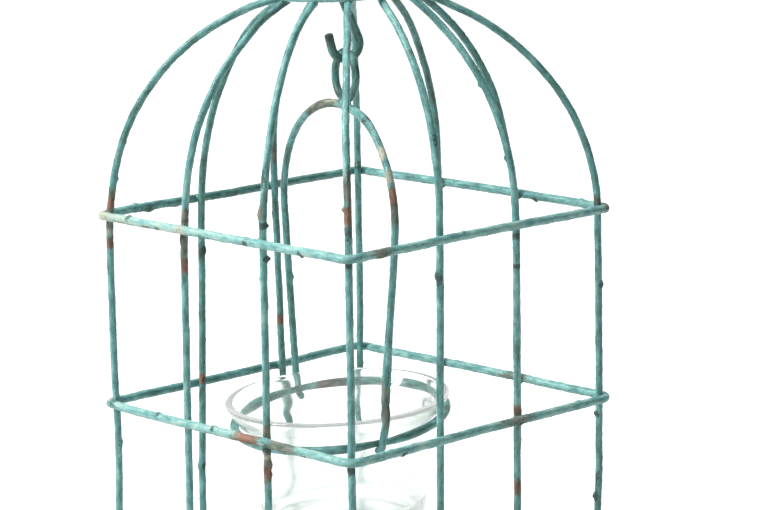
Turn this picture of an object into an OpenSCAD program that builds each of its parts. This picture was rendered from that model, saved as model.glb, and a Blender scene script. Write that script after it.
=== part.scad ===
// Square wire birdcage lantern with a dome top and a hanging glass cup.
// The corners stand on the diagonals, -Y is the front face, +Z is up and
// the origin is the middle of the base.

/* [Wire] */
// Thickness of every wire
wire_d = 3; // [2.4:0.1:3.2]
// How far one wire sinks into the next at a weld
weld_bite = 0.2; // [0.1:0.05:0.4]
// Gap between wires that only hang in each other
link_gap = 0.25; // [0.2:0.05:0.5]

/* [Cage] */
// Side of the square hoops, between wire centres
cage_side = 152; // [140:1:160]
// Bend of a hoop's corner, to the wire centre
corner_r = 4.6; // [4:0.2:6]
// Height from one hoop to the next
hoop_gap = 81.5; // [75:0.5:90]
// Number of square hoops, the lowest being the base
hoop_count = 3; // [3:1:3]

/* [Crown] */
// Radius of the crown ring, to the wire centre
crown_r = 30; // [28:0.5:33]
// Height of the crown ring above the upper hoop
crown_rise = 93; // [90:0.5:96]
// Tilt of the crown ring, its front left side lower
crown_tilt = 1.5; // [0:0.1:2]
// Radius of the hanging loop above the crown
loop_r = 12; // [11:0.5:15]
// Straight part of the hanging loop's legs
loop_leg = 8; // [6:0.5:14]

/* [Hanging gear] */
// Direction of the crown bar and of the bail, seen from above
hang_turn = -18.5; // [-19.5:0.5:-17.5]
// Radius of the hook's bend over the crown bar
hook_upper_r = 5; // [4.8:0.1:5.4]
// Radius of the hook's bend that holds the bail
hook_lower_r = 6.4; // [6:0.1:7]
// Straight tip of the hook
hook_tip = 6.5; // [4:0.5:8]
// Radius of the bail's eye
eye_r = 10; // [9.5:0.25:10.5]
// Half the width of the bail at its shoulders
bail_half_width = 55; // [54:0.5:56]
// Radius of the bail's flat top
bail_top_r = 66; // [62:1:70]
// Sweep of the flat top, each side
bail_top_sweep = 35; // [32:1:38]
// How far the arch stands off to the left of the eye
bail_offset = 6.6; // [5.5:0.1:7]
// How far the bail leans out of plumb
bail_lean = 1.7; // [1:0.1:2]

/* [Cup] */
// Radius of the ring that holds the glass, to the wire centre
ring_r = 47; // [46.8:0.1:47.4]
// Drop from the hook's lower bend to the ring
ring_drop = 151.5; // [149:0.5:154]
// Slope of the ring along the bail
ring_slope = 2.1; // [1.5:0.1:2.5]
// Roll of the ring out of the bail's square
ring_roll = 7.8; // [6:0.1:8]
// Outer radius of the glass rim
rim_r = 48.1; // [47.8:0.1:48.2]
// Outer radius of the glass body below the flare
body_r = 35.8; // [35:0.1:36.5]
// Inner radius of the glass, a straight bore
well_r = 33.4; // [33:0.1:33.6]
// Height of the glass from foot to rim
glass_h = 57; // [54:0.5:59]
// Thickness of the glass foot
foot_t = 4.8; // [4:0.2:6]

/* [Hidden] */
$fn = 48;

paint = "#6fb9b8";
paint_dark = "#4c8f8d";
paint_bare = "#8fa79b";
glass_tint = [0.86, 0.94, 0.91, 0.45];

seat = wire_d - weld_bite;            // centre distance of two welded wires
link = wire_d + link_gap;             // centre distance of two linked wires
rib_at = cage_side / 2 - seat;        // the face ribs stand inside the hoops
rib_third = rib_at / 3;               // even places of the two ribs of a face
bend_at = cage_side / 2 - corner_r;   // centre of a hoop's corner bend
corner_at = bend_at + (corner_r - seat) / sqrt(2);  // place of a corner rib
upper_z = wire_d / 2 + (hoop_count - 1) * hoop_gap;
crown_base = upper_z + 0.5;           // level that the crown's heights start from
crown_z = crown_base + crown_rise;
rib_tail = 1.5;                       // rib end past the crown ring

// ---- wire work, in the plane of X (across) and Z (up) ----

function polar(r, a) = [r * cos(a), r * sin(a)];
function arc_points(c, r, a0, a1, n) =
    [for (i = [0 : n]) c + polar(r, a0 + (a1 - a0) * i / n)];

// Bent wire round the point c, from angle a0 to angle a1
module bend(c, r, a0, a1)
    translate([c[0], 0, c[1]]) rotate([90, 0, 0])
        rotate_extrude(angle = a1 - a0, start = a0, $fn = 96)
            translate([r, 0]) circle(d = wire_d);

// Hammered knuckle where a straight and a bend, or two bends, run together
knuckle_d = wire_d + 0.04;
module knuckle(p) translate([p[0], 0, p[1]]) sphere(d = knuckle_d);

// Straight wire from p to q
module rod(p, q) {
    d = q - p;
    translate([p[0], 0, p[1]]) rotate([0, atan2(d[0], d[1]), 0])
        cylinder(d = wire_d, h = norm(d));
}

// Straight wire between two points in space
module strut(p, q) {
    d = q - p;
    translate(p) rotate([0, acos(d[2] / norm(d)), atan2(d[1], d[0])])
        cylinder(d = wire_d, h = norm(d));
}

// ---- cage ----

// Square hoop of one wire, its corners bent round the corner ribs
module hoop(z) {
    for (k = [0 : 3]) rotate([0, 0, 90 * k]) translate([0, 0, z]) {
        translate([cage_side / 2, bend_at, 0]) rotate([90, 0, 0])
            cylinder(d = wire_d, h = 2 * bend_at);
        translate([bend_at, bend_at, 0]) rotate_extrude(angle = 90)
            translate([corner_r, 0]) circle(d = wire_d);
        translate([cage_side / 2, bend_at, 0]) sphere(d = knuckle_d);
        translate([bend_at, cage_side / 2, 0]) sphere(d = knuckle_d);
    }
}

// Height of the tilted crown ring in the direction of azimuth az
function crown_at(az) = crown_z + crown_r * sin(crown_tilt) * cos(az - 45);

// Rib: straight up to [x, y], then a shoulder bend and a crown bend that both
// lie in the upright plane through the axis, ending under the crown ring.
// rise is the height of the shoulder over the upper hoop, sweep the angle of
// the shoulder bend, crown_angle the whole angle turned where the rib meets
// the ring, and stray how far the foot is off [x, y] along its face.
module rib(x, y, rise, sweep, crown_angle, stray = 0) {
    az = atan2(y, x);
    foot = norm([x, y]);
    z0 = crown_base + rise;
    touch = [crown_r, crown_at(az)] - polar(seat, crown_angle);
    // Two radii that carry the wire from the upright to the touching point
    a = 1 - cos(sweep);
    b = cos(sweep) - cos(crown_angle);
    c = sin(sweep);
    d = sin(crown_angle) - sin(sweep);
    across = foot - touch[0];
    up = touch[1] - z0;
    shoulder_r = (across * d - up * b) / (a * d - b * c);
    dome_r = (a * up - c * across) / (a * d - b * c);
    shoulder_c = [foot - shoulder_r, z0];
    dome_c = shoulder_c + polar(shoulder_r - dome_r, sweep);
    tail = rib_tail / dome_r * 180 / PI;
    along = abs(x) > abs(y) ? [0, stray] : [stray, 0];
    // A leaning foot is raised until no edge of its end is under the base
    heel = abs(stray) / z0 * wire_d / 2;
    strut([x + along[0], y + along[1], heel], [x, y, z0]);
    rotate([0, 0, az]) {
        knuckle([foot, z0]);
        bend(shoulder_c, shoulder_r, 0, sweep);
        knuckle(dome_c + polar(dome_r, sweep));
        bend(dome_c, dome_r, sweep, crown_angle + tail);
    }
}

module hoop_base() color(paint) hoop(wire_d / 2);
module hoop_middle() color(paint) hoop(wire_d / 2 + hoop_gap);
module hoop_upper() color(paint) hoop(upper_z);

// The ribs were bent by hand, so each has its own bends, and the face ribs
// stand a little off their even places.
module corner_rib_front_left()
    color(paint) rib(-corner_at, -corner_at, -10.7, 15.2, 77.5);
module corner_rib_front_right()
    color(paint) rib(corner_at, -corner_at, -12, 12, 75.5);
module corner_rib_back_right()
    color(paint) rib(corner_at, corner_at, -4.6, 45, 72.5);
module corner_rib_back_left()
    color(paint_dark) rib(-corner_at, corner_at, -10.3, 11.8, 80);
module front_rib_1()
    color(paint) rib(-rib_third, -rib_at, -13.4, 9, 59.2, -1.3);
module front_rib_2()
    color(paint) rib(rib_third - 0.4, -rib_at, -1.6, 36.6, 74.5, -0.8);
module right_rib_1()
    color(paint) rib(rib_at, -rib_third + 1.7, 10.5, 35, 61.8, -2.2);
module right_rib_2()
    color(paint) rib(rib_at, rib_third - 3, 4.7, 37.3, 56.4, -0.4);
module back_rib_1()
    color(paint_dark) rib(rib_third + 0.5, rib_at, -16.7, 17.6, 57.5, -0.2);
module back_rib_2()
    color(paint_dark) rib(-rib_third + 2.8, rib_at, 2.4, 32, 63.1, -1.6);
module left_rib_1()
    color(paint_dark) rib(-rib_at, rib_third - 2.5, 14.4, 34.1, 53, 4);
module left_rib_2()
    color(paint_dark) rib(-rib_at, -rib_third + 3.5, -5.4, 35.8, 69, -4);

// ---- crown ----

// Everything on the crown shares the ring's slight tilt
module on_crown(up = 0)
    translate([0, 0, crown_z]) rotate(a = crown_tilt, v = [1, -1, 0])
        translate([0, 0, up]) children();

module crown_ring()
    color(paint) on_crown() rotate_extrude($fn = 96)
        translate([crown_r, 0]) circle(d = wire_d);

bar_half = crown_r + wire_d / 2 + 1;  // the bar just reaches past the ring
module crown_bar()
    color(paint) on_crown(seat) rotate([0, 0, hang_turn])
        rod([-bar_half, 0], [bar_half, 0]);

// Loop to hang the lantern by: feet along the bar, two legs and an arch
loop_foot_r = 3.2;                    // bend that turns each foot out
loop_foot = 5;                        // straight part of a foot, on the bar
module hanging_loop()
    color(paint) on_crown(2 * seat) rotate([0, 0, hang_turn]) {
        leg_top = loop_foot_r + loop_leg;
        bend([0, leg_top], loop_r, 0, 180);
        for (m = [0, 1]) mirror([m, 0, 0]) {
            knuckle([loop_r, leg_top]);
            rod([loop_r, loop_foot_r], [loop_r, leg_top]);
            knuckle([loop_r, loop_foot_r]);
            bend([loop_r + loop_foot_r, loop_foot_r], loop_foot_r, 180, 270);
            knuckle([loop_r + loop_foot_r, 0]);
            rod([loop_r + loop_foot_r, 0], [loop_r + loop_foot_r + loop_foot, 0]);
        }
    }

// ---- hanging gear ----

// The crown bar's centre line at the axis, and the bend that holds the bail
bar_z = crown_z + seat;
hook_z = upper_z + 64.5;              // bottom of the hook's lower bend
hook_shift = -2.4;                    // lower bend, set to the front of the axis

// S-hook: in its own plane, across the bar
upper_c = [0, bar_z + link - hook_upper_r];
lower_c = [hook_shift, hook_z + hook_lower_r];
hook_span = upper_c - lower_c;
cross_angle = atan2(hook_span[1], hook_span[0])
            - acos((hook_lower_r + hook_upper_r) / norm(hook_span));
tip_angle = 193;                      // where the lower bend runs into the tip
hook_end_angle = -15;                 // where the upper bend is cut off
module s_hook()
    color(paint_dark) rotate([0, 0, hang_turn + 90]) {
        tip = lower_c + polar(hook_lower_r, tip_angle);
        stem_low = lower_c + polar(hook_lower_r, cross_angle);
        stem_top = upper_c - polar(hook_upper_r, cross_angle);
        rod(tip, tip + polar(hook_tip, tip_angle - 90));
        knuckle(tip);
        bend(lower_c, hook_lower_r, tip_angle, 360 + cross_angle);
        knuckle(stem_low);
        rod(stem_low, stem_top);
        knuckle(stem_top);
        bend(upper_c, hook_upper_r, hook_end_angle, 180 + cross_angle);
    }

// The bail's own plane: origin at the wire of the hook's lower bend
hang_point = [-hook_shift * sin(hang_turn), hook_shift * cos(hang_turn), hook_z];
module on_hook()
    translate(hang_point) rotate([-bail_lean, 0, hang_turn]) children();

eye_z = link - eye_r;
arch_z = eye_z - eye_r - seat;
module bail_eye()
    color(paint_dark) on_hook() bend([0, eye_z], eye_r, 0, 360);

// Arch: flat top, two shoulders and straight legs, with a hook at each foot
shoulder_r = (bail_half_width - bail_top_r * sin(bail_top_sweep))
           / (1 - sin(bail_top_sweep));
shoulder_c = [(bail_top_r - shoulder_r) * sin(bail_top_sweep),
              arch_z - bail_top_r + (bail_top_r - shoulder_r) * cos(bail_top_sweep)];
ring_shift = -2.2;                    // ring centre, to the left of the eye
ring_c = [ring_shift, -ring_drop];
foot_r = link;                        // foot hook, round the ring's wire
foot_end = 150;                       // how far a foot hook turns under the ring

// Place on the ring's wire, az being counted from the bail's right side
function ring_point(az) =
    let (x = ring_r * cos(az), y = ring_r * sin(az) * cos(ring_roll),
         z = ring_r * sin(az) * sin(ring_roll))
    [ring_c[0] + x * cos(ring_slope) + z * sin(ring_slope), y,
     ring_c[1] - x * sin(ring_slope) + z * cos(ring_slope)];

// Half of the arch on the side given by sign. The leg leans out of the arch's
// plane until its foot hook holds the ring at the point foot.
module half_arch(sign, foot) {
    flat_foot = [sign * (foot[0] + bail_offset), foot[2]];
    span = flat_foot - shoulder_c;
    // Direction of the straight leg's normal, tangent to shoulder and foot
    lean = atan2(span[1], span[0]) + acos((shoulder_r - foot_r) / norm(span));
    leg_top = shoulder_c + polar(shoulder_r, lean);
    drop = leg_top[1] - foot[2];
    stray = atan(foot[1] / drop);
    local_foot = [flat_foot[0], leg_top[1] - drop / cos(stray)];
    leg_low = local_foot + polar(foot_r, lean);
    translate([-bail_offset, 0, 0]) mirror([sign < 0 ? 1 : 0, 0, 0]) {
        knuckle([0, arch_z]);
        bend([0, arch_z - bail_top_r], bail_top_r, 90 - bail_top_sweep, 90);
        knuckle(shoulder_c + polar(shoulder_r, 90 - bail_top_sweep));
        bend(shoulder_c, shoulder_r, lean, 90 - bail_top_sweep);
        knuckle(leg_top);
        translate([0, 0, leg_top[1]]) rotate([stray, 0, 0])
            translate([0, 0, -leg_top[1]]) {
                rod(leg_top, leg_low);
                knuckle(leg_low);
                bend(local_foot, foot_r, -foot_end, lean);
            }
    }
}

// The feet hold the ring a little off the bail's own line
right_foot_at = -4.3;
left_foot_at = 178;
module bail_arch()
    color(paint_bare) on_hook() {
        half_arch(1, ring_point(right_foot_at));
        half_arch(-1, ring_point(left_foot_at));
    }

// ---- cup ----

// The ring's own frame: origin at its centre, Z along the cup's axis
module on_ring()
    on_hook() translate([ring_c[0], 0, ring_c[1]])
        rotate([0, ring_slope, 0]) rotate([ring_roll, 0, 0]) children();

module cup_ring()
    color(paint_bare) on_ring() rotate_extrude($fn = 96)
        translate([ring_r, 0]) circle(d = wire_d);

// Glass: a round lip over the ring, a flare, a straight well and a foot
lip_r = 1.8;                          // rolled lip
lip_c = [rim_r - lip_r,
         sqrt(pow(lip_r + wire_d / 2 + link_gap, 2) - pow(ring_r - rim_r + lip_r, 2))];
wall_t = body_r - well_r;
flare_r = 9;                          // bend of the flare, outside
flare_end = 101;                      // where the flare's bend stops
foot_z = lip_c[1] + lip_r - glass_h;
foot_taper = 1.2;                     // how much narrower the foot is
foot_edge = 5;                        // round edge under the foot
floor_edge = 9.8;                     // round corner of the floor, inside
// The flare runs on straight from its bend and touches the lip from below;
// inside it keeps the wall's thickness up to the lip
flare_out = polar(flare_r, flare_end);
lip_low = lip_c + polar(lip_r, flare_end - 180);
flare_c = [body_r + flare_r,
           lip_low[1] - flare_out[1]
           + (lip_low[0] - body_r - flare_r - flare_out[0]) / tan(flare_end)];
lip_end = flare_end + acos((wall_t - lip_r) / lip_r);
glass_profile = concat(
    [[0, foot_z]],
    arc_points([body_r - foot_taper - foot_edge, foot_z + foot_edge], foot_edge, -90, 0, 8),
    arc_points(flare_c, flare_r, 180, flare_end, 10),
    arc_points(lip_c, lip_r, flare_end - 180, lip_end, 14),
    arc_points(flare_c, flare_r + wall_t, flare_end, 180, 10),
    arc_points([well_r - floor_edge, foot_z + foot_t + floor_edge], floor_edge, 0, -90, 8),
    [[0, foot_z + foot_t]]);
module glass_cup()
    color(glass_tint) on_ring() rotate_extrude($fn = 96) polygon(glass_profile);

hoop_base();
hoop_middle();
hoop_upper();
corner_rib_front_left();
corner_rib_front_right();
corner_rib_back_right();
corner_rib_back_left();
front_rib_1();
front_rib_2();
right_rib_1();
right_rib_2();
back_rib_1();
back_rib_2();
left_rib_1();
left_rib_2();
crown_ring();
crown_bar();
hanging_loop();
s_hook();
bail_eye();
bail_arch();
cup_ring();
glass_cup();
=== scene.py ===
# %% [markdown]
# # A wire birdcage lantern
# The real object is one thing made over and over: a length of iron wire, bent
# and welded to the next. Its charm is in what the hammer, the torch and the
# weather did to that wire. So this lesson builds one good wire, gives it a
# brushed and rusting coat of paint, and then draws the cage with it. A clear
# glass cup hangs in the middle.

# %% Load the measured frame
import numpy as np
import bpy
from mathutils import Matrix


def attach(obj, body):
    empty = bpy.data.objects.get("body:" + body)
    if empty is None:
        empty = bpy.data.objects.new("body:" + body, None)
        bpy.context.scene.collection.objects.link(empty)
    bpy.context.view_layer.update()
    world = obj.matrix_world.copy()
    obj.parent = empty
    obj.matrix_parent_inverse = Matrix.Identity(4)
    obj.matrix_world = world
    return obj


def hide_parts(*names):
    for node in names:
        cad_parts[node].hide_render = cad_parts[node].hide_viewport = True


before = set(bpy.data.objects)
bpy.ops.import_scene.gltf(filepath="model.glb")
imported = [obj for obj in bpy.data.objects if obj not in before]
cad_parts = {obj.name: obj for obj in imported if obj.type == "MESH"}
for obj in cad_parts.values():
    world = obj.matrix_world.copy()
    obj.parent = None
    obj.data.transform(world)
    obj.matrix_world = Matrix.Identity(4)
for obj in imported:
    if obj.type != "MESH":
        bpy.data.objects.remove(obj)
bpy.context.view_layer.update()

# %% [markdown]
# ## Sizes
# Lengths are in millimetres while we work, because wire is sold that way, and
# become metres when a mesh is made. Most are the measured frame's own numbers,
# so that every new piece lands on the piece that it stands for. The glass, its
# ring and the thicker wires have sizes of their own.

# %% Sizes of the cage
MM = 0.001
WIRE_R = 1.5                 # radius of the wire, before it is made stouter
SEAT = 2.8                   # centre distance of two welded wires
LINK = 3.25                  # centre distance of two wires that only hang
SIDE = 152.0                 # side of a hoop, between wire centres
CORNER_R = 4.6               # bend of a hoop's corner
BEND_AT = SIDE / 2 - CORNER_R
CORNER_AT = BEND_AT + (CORNER_R - SEAT) / np.sqrt(2)
RIB_AT = SIDE / 2 - SEAT     # the face ribs stand inside the hoops
THIRD = RIB_AT / 3
HOOP_Z = {"hoop_base": 1.5, "hoop_middle": 83.0, "hoop_upper": 164.5}
CROWN_Z = 258.0
CROWN_R = 30.0
CROWN_TILT = 1.5             # degrees, front left side down
DOME_FROM = HOOP_Z["hoop_upper"] + 0.5
UP = np.array([0.0, 0.0, 1.0])
# Directions seen from the front corner
LEFT, RIGHT = np.array([-0.7, -0.71, 0]), np.array([0.7, 0.71, 0])
NEAR, DOWN = np.array([0.72, -0.69, 0]), -UP
print(f"face ribs {RIB_AT:.1f} mm out, corner ribs {CORNER_AT:.1f} mm each way")

# %% [markdown]
# ## Paths
# A wire starts as a line. We only need two kinds of line, a straight and an
# arc, both drawn in an upright plane. Chaining them and then walking along
# the chain in equal steps gives the points that a tube can follow.

# %% Straights, arcs and even steps
STEP = 0.5                   # distance between two rings of a tube
CHORD = 0.2                  # and between two points of an arc
TIP = np.array([0.0, 0.06, 0.18, 0.36, 0.62])   # closer rings round off an end
TIP_LENGTH = 0.95


def polar(r, degrees):
    """Point at distance r in direction degrees: (r cos, r sin)."""
    a = np.radians(degrees)
    return np.stack([r * np.cos(a), r * np.sin(a)], -1)


def rod(p, q):
    """The two ends of a straight."""
    return np.array([p, q], float)


def arc(centre, r, start, end):
    """Points centre + r (cos t, sin t) for t from start to end in degrees."""
    count = max(3, int(np.radians(abs(end - start)) * r / CHORD))
    return np.add(centre, polar(r, np.linspace(start, end, count)))


def even(points, closed=False):
    """Walks along a chain of points in equal steps, by linear interpolation
    over the distance covered so far. Gives the places, their distances and
    the whole length."""
    if closed:
        points = np.vstack([points, points[:1]])
    gap = np.linalg.norm(np.diff(points, axis=0), axis=1)
    points = points[np.append(True, gap > 1e-6)]
    far = np.append(0.0, np.cumsum(gap[gap > 1e-6]))
    count = int(round(far[-1] / STEP))
    if closed:
        s = np.arange(count) * far[-1] / count
    else:
        body = np.linspace(TIP_LENGTH, far[-1] - TIP_LENGTH, count)
        s = np.concatenate([TIP, body, far[-1] - TIP[::-1]])
    places = [np.interp(s, far, points[:, k]) for k in range(3)]
    return np.stack(places, -1), s, far[-1]


def compass(azimuth):
    """Level unit vector in the direction of an azimuth: (cos, sin, 0)."""
    return np.append(polar(1, azimuth), 0)


def upright(flat, azimuth=0.0, origin=(0, 0, 0), lift=None):
    """Stands a flat line up: across runs along the azimuth, the second number
    is height. lift, a 3 by 3 matrix, turns the result before it is moved."""
    points = flat[:, :1] * compass(azimuth) + flat[:, 1:] * UP
    if lift is not None:
        points = points @ np.asarray(lift).T
    return points + origin


def turn(axis, degrees):
    """Matrix that turns by degrees about an axis: cos I + sin [axis] +
    (1 - cos) axis axis^T."""
    x, y, z = np.array(axis, float) / np.linalg.norm(axis)
    c, s = np.cos(np.radians(degrees)), np.sin(np.radians(degrees))
    cross = np.array([[0, -z, y], [z, 0, -x], [-y, x, 0]])
    return c * np.eye(3) + s * cross + (1 - c) * np.outer([x, y, z], [x, y, z])


print("a quarter turn of 10 mm takes", len(arc((0, 0), 10, 0, 90)), "points")

# %% [markdown]
# ## One good wire
# A tube is a function of two numbers: how far along the wire, and how far
# round it. Three things make it look handled rather than drawn. The centre
# line wanders a little, the radius swells and pinches, and drops of weld
# spatter and thick paint stand up from it. All three are added as whole
# arrays over the grid, so the tube stays one clean skin of quads.

# %% Ripples and lumps
def ripple(s, t, length, rng, shortest, longest, count, around):
    """A sum of sine waves over distance s and angle t, each with a whole
    number of cycles in the length, so that it also closes on a hoop.
    Scaled to a spread of about one."""
    low, high = length / longest, length / shortest
    cycles = np.round(np.exp(rng.uniform(np.log(low), np.log(high), count)))
    turns = rng.integers(-around, around + 1, count)
    phase = rng.uniform(0, 2 * np.pi, count)
    angle = (2 * np.pi * cycles * s[..., None] / length
             + turns * t[..., None] + phase)
    return np.sin(angle).sum(-1) / np.sqrt(count / 2)


def apart(s, at, length, closed):
    """Distance along the wire from at, the short way round on a hoop."""
    ds = s - at
    return (ds + length / 2) % length - length / 2 if closed else ds


def bumps(s, t, length, at, side, height, along, across, closed):
    """Sum of round bumps: height times exp of minus the squared distances
    along the wire and round it, each over the bump's own reach."""
    ds = apart(s[..., None], at, length, closed)
    dt = (t[..., None] - side + np.pi) % (2 * np.pi) - np.pi
    fall = (ds / along) ** 2 + (WIRE_R * dt / across) ** 2
    return (height * np.exp(-fall)).sum(-1)


# %% The skin of a grid
def skin(name, grid, closed=False):
    """Mesh of one or more grids of shape (copies, rows, columns, 3). Columns
    always close on themselves. Rows close too, or end in a point at the
    middle of their first and last ring."""
    copies, rows, cols = grid.shape[:3]
    index = np.arange(copies * rows * cols).reshape(copies, rows, cols)
    ahead = np.roll(index, -1, axis=2)
    if closed:
        pair = (index, ahead, np.roll(ahead, -1, 1), np.roll(index, -1, 1))
    else:
        pair = (index[:, :-1], ahead[:, :-1], ahead[:, 1:], index[:, 1:])
    faces = np.stack(pair, -1).reshape(-1, 4).tolist()
    points = grid.reshape(-1, 3)
    if not closed:
        first = len(points) + np.arange(copies)[:, None]
        last = first + copies
        tips = np.concatenate([grid[:, 0].mean(1), grid[:, -1].mean(1)])
        points = np.vstack([points, tips])
        for tip, a, b in ((first, ahead[:, 0], index[:, 0]),
                          (last, index[:, -1], ahead[:, -1])):
            fan = np.stack([np.broadcast_to(tip, a.shape), a, b], -1)
            faces += fan.reshape(-1, 3).tolist()
    mesh = bpy.data.meshes.new(name)
    mesh.from_pydata((points * MM).tolist(), [], faces)
    mesh.polygons.foreach_set("use_smooth", np.ones(len(faces), bool))
    mesh.update()
    piece = bpy.data.objects.new(name, mesh)
    bpy.context.scene.collection.objects.link(piece)
    return piece


def weather(piece, worn_and_shaded, tone, strand):
    """Stores what the paint reads at each point: the worn colour holds rust,
    cream, dark and bare metal, and its dark part also holds the painted shade
    where a rib ends under the crown ring; the tone runs from 0, pale, to 1,
    deep, and deepens on the hoops' left sides as painted shade; and strand is
    a place measured along and round the wire, for brush marks. The points in
    the middle of an end take the mean of all the others."""
    count = len(piece.data.vertices)
    for name, kind, key, values, width in (
            ("worn_and_shaded", "FLOAT_COLOR", "color", worn_and_shaded, 4),
            ("tone", "FLOAT", "value", tone, 1),
            ("strand", "FLOAT_VECTOR", "vector", strand, 3)):
        values = np.reshape(values, (-1, width))
        full = np.zeros((count, width), np.float32)
        full[:len(values)] = values
        full[len(values):] = np.mean(full[:len(values)], axis=0)
        layer = piece.data.attributes.new(name, kind, "POINT")
        layer.data.foreach_set(key, full.ravel())


# %% Directions and places on a line
def directions(line, normal, closed):
    """Unit vectors N, in the wire's plane, and B, along its normal, from the
    difference between each point's two neighbours."""
    if closed:
        ahead = np.roll(line, -1, 0) - np.roll(line, 1, 0)
    else:
        ahead = np.gradient(line, axis=0)
    ahead /= np.linalg.norm(ahead, axis=1, keepdims=True)
    n = np.cross(normal, ahead)
    n /= np.linalg.norm(n, axis=1, keepdims=True)
    return n, np.cross(ahead, n)


def nearest(line, place):
    """Row nearest to a point, or to a height where place is one number."""
    if np.ndim(place) == 0:
        return int(np.argmin(np.abs(line[:, 2] - place)))
    return int(np.argmin(((line - place) ** 2).sum(1)))


# %% [markdown]
# Wear comes in patches. On a real wire, rust starts where two wires meet,
# cream primer shows where a hand rubs, and dark spots sit in the dents. Some
# patches are painted shade instead: a deeper tone on the hoops' left sides,
# and a deeper tone and a dark patch where the end of a front rib runs under
# the crown ring. Each patch is a soft hill along the wire, and the paint later
# gives it its ragged edge, so one number per point is enough.

# %% Spatter and wear
KINDS = ("rust", "cream", "dark", "bare", "tone")
DROP_EVERY = 7.0             # one drop of spatter to so much wire


def spatter(length, rough, rng):
    """Small drops strewn at random: where along and where round the wire, how
    high, and how far they reach along and round."""
    count = int(length / DROP_EVERY * rough)
    return [rng.uniform(0, length, count), rng.uniform(-np.pi, np.pi, count),
            rng.uniform(0.05, 0.3, count) ** 1.3 * rough,
            rng.uniform(0.6, 1.6, count), rng.uniform(0.5, 1.1, count)]


def wear_and_shade(patches, tone, line, s, length, closed, ring):
    """Amounts of the five kinds. Each patch adds its strength times exp of
    minus (distance / reach) squared, or to the fourth for a tone. Where it has
    a side, it fades towards the side that faces away."""
    worn_and_shaded = np.zeros(ring.shape[:2] + (len(KINDS),))
    worn_and_shaded[..., KINDS.index("tone")] = tone
    for kind, at, reach, strength, *toward in patches:
        ds = apart(s, s[nearest(line, at)], length, closed)
        power = 4 if kind == "tone" else 2
        fall = (strength * np.exp(-np.abs(ds / reach) ** power))[:, None]
        if toward:
            facing = ring @ (np.array(toward[0]) / np.linalg.norm(toward[0]))
            fall = fall * np.clip(0.5 + 0.9 * facing, 0, 1)
        worn_and_shaded[..., KINDS.index(kind)] += fall
    return worn_and_shaded


# %% [markdown]
# Now the tube. A curve with a round bevel would give one too, but not the
# ripples, drops and worn places. So each wire is a grid: its rows are rings
# along the line, and its columns run round it.

# %% The wire itself
AROUND = 20                              # points in one ring
SLOW, QUICK, QUICK_SHARE = (22, 90), (7, 20), 0.3    # wavelengths of the wander
SWELL, SWELL_WAVES = 0.022, (3.5, 25)    # the radius swells by two per cent
GRAIN, GRAIN_WAVES = 0.014, (1.3, 3.5)   # and is grainy by one and a half
CAP = 1.0                                # an end closes over its last millimetre
STRETCH = 0.22                           # steps along count less: marks run long


def wire(name, path, normal, body, seed, closed=False, rough=1.0,
         wander=0.05, sways=(), lumps=(), patches=(), tone=0.0, stout=1.0):
    """Tube round a path: path + wander + radius (cos t N + sin t B). The
    radius is the wire's own times stout, times one plus ripples, plus lumps,
    and it closes at an open end as the root of 1 - (1 - d)^2, where d is the
    distance from the end over the cap's."""
    rng = np.random.default_rng(seed)
    start, s, length = even(path, closed)
    n, b = directions(start, normal, closed)
    line, none = start, np.zeros_like(s)
    for side in (n, b):
        slow = ripple(s, none, length, rng, *SLOW, 10, 0)
        quick = ripple(s, none, length, rng, *QUICK, 10, 0)
        line = line + side * (wander * slow + QUICK_SHARE * wander * quick)[:, None]
    for at, push, reach in sways:
        ds = s - s[nearest(start, at)]
        line = line + np.exp(-(ds / reach) ** 2)[:, None] * np.array(push)

    t = np.arange(AROUND) * 2 * np.pi / AROUND
    S, T = np.meshgrid(s, t, indexing="ij")
    swell = SWELL * ripple(S, T, length, rng, *SWELL_WAVES, 26, 2)
    grain = GRAIN * ripple(S, T, length, rng, *GRAIN_WAVES, 40, 4)
    radius = WIRE_R * stout * (1 + rough * (swell + grain))
    drops = spatter(length, rough, rng)
    for at, toward, height, along, across in lumps:
        i = nearest(start, at)
        side = np.arctan2(np.dot(toward, b[i]), np.dot(toward, n[i]))
        drops = [np.append(d, v) for d, v in
                 zip(drops, (s[i], side, height, along, across))]
    radius = radius + bumps(S, T, length, *drops, closed)
    if not closed:
        d = np.clip(np.minimum(S, length - S) / CAP, 0, 1)
        radius = radius * np.sqrt(np.clip(1 - (1 - d) ** 2, 1e-4, 1))
    ring = np.cos(T)[..., None] * n[:, None] + np.sin(T)[..., None] * b[:, None]
    grid = line[:, None] + radius[..., None] * ring
    grid[..., 2] = np.maximum(grid[..., 2], 0)   # nothing sinks into the table

    piece = skin(name, grid[None], closed)
    worn_and_shaded = wear_and_shade(patches, tone, start, s, length, closed, ring)
    strand = np.stack([S * STRETCH, WIRE_R * np.cos(T), WIRE_R * np.sin(T)], -1)
    weather(piece, worn_and_shaded[..., :4], worn_and_shaded[..., 4], strand * MM)
    piece.data.materials.append(PAINT)
    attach(piece, body)
    print(f"{name}: {length:.0f} mm of wire, {len(piece.data.polygons)} faces")
    return piece


# %% [markdown]
# ## The coat of paint
# The wire was brushed with aqua paint over a darker teal, rubbed back, and
# left to rust. In layers from the bottom up: a teal ground that drifts from
# green to blue, a lighter brushed coat that covers most of it, chips down to
# dark iron, and patches of bare metal, cream primer and rust where the piece
# says so. The dark iron and a deeper tone also lay painted shade where a
# piece asks for it. Noise on Object coordinates breaks up every edge, so one
# material serves all the wires and no two spots are alike.

# %% Colour and node helpers
def srgb(r, g, b):
    """Screen colour, 0 to 255, as the light values that a shader takes."""
    c = np.array([r, g, b]) / 255
    c = np.where(c <= 0.04045, c / 12.92, ((c + 0.055) / 1.055) ** 2.4)
    return (*c.tolist(), 1.0)


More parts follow.
